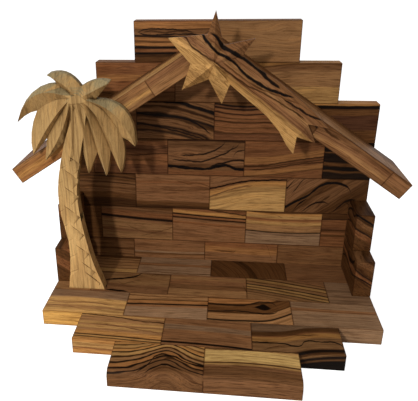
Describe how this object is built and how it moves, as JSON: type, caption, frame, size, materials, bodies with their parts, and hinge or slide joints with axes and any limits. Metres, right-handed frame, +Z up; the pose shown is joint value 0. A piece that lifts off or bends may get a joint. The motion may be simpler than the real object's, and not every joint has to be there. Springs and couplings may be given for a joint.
{
  "type": "nativity stable",
  "caption": "Wooden nativity stable glued up from olive-wood blocks: stepped back panel and floor, low side walls, gable roof, carved comet star and carved palm tree",
  "frame": {"origin": "middle of the footprint, on the underside", "axes": "X runs along the back panel to the right as seen from the front, Y to the back, Z up"},
  "size_m": [0.284, 0.1596, 0.2211],
  "materials": {
    "olive_orange": "satin",
    "olive_tan": "satin",
    "olive_brown": "satin",
    "olive_red": "satin",
    "olive_dark": "satin",
    "olive_grey": "satin",
    "olive_honey": "satin",
    "pale_wood": "matt"
  },
  "bodies": {
    "root": {"wall_row_1_block_1": "olive_orange", "wall_row_1_block_2": "olive_brown", "wall_row_2_block_1": "olive_red", "wall_row_2_block_2": "olive_tan", "wall_row_2_block_3": "olive_brown", "wall_row_3_block_1": "olive_dark", "wall_row_3_block_2": "olive_brown", "wall_row_3_block_3": "olive_brown", "wall_row_3_block_4": "olive_dark", "wall_row_4_block_1": "olive_red", "wall_row_4_block_2": "olive_red", "wall_row_4_block_3": "olive_dark", "wall_row_4_block_4": "olive_red", "wall_row_4_block_5": "olive_dark", "wall_row_5_block_1": "olive_dark", "wall_row_5_block_2": "olive_brown", "wall_row_5_block_3": "olive_tan", "wall_row_5_block_4": "olive_dark", "wall_row_6_block_1": "olive_orange", "wall_row_6_block_2": "olive_brown", "wall_row_6_block_3": "olive_tan", "wall_row_6_block_4": "olive_brown", "wall_row_6_block_5": "olive_dark", "wall_row_7_block_1": "olive_red", "wall_row_7_block_2": "olive_brown", "wall_row_7_block_3": "olive_brown", "wall_row_7_block_4": "olive_dark", "floor_strip_1_block_1": "olive_tan", "floor_strip_1_block_2": "olive_brown", "floor_strip_1_block_3": "olive_dark", "floor_strip_1_block_4": "olive_grey", "floor_strip_2_block_1": "olive_dark", "floor_strip_2_block_2": "olive_orange", "floor_strip_2_block_3": "olive_brown", "floor_strip_2_block_4": "olive_brown", "floor_strip_2_block_5": "olive_grey", "floor_strip_3_block_1": "olive_tan", "floor_strip_3_block_2": "olive_orange", "floor_strip_3_block_3": "olive_brown", "floor_strip_3_block_4": "olive_brown", "floor_strip_4_block_1": "olive_tan", "floor_strip_4_block_2": "olive_brown", "floor_strip_4_block_3": "olive_orange", "floor_strip_5_block_1": "olive_brown", "floor_strip_5_block_2": "olive_tan", "roof_right_block_1": "olive_brown", "roof_right_block_2": "olive_brown", "roof_right_block_3": "olive_orange", "roof_right_block_4": "olive_brown", "roof_left_block_1": "olive_brown", "roof_left_block_2": "olive_brown", "roof_left_block_3": "olive_orange", "roof_right_rear_strip": "olive_brown", "roof_left_rear_strip": "olive_brown", "side_wall_left_lower": "olive_dark", "side_wall_left_upper": "olive_dark", "side_wall_right_lower": "olive_red", "side_wall_right_upper": "olive_red", "comet_star": "olive_honey", "palm_tree": "pale_wood"}
  },
  "joints": []
}
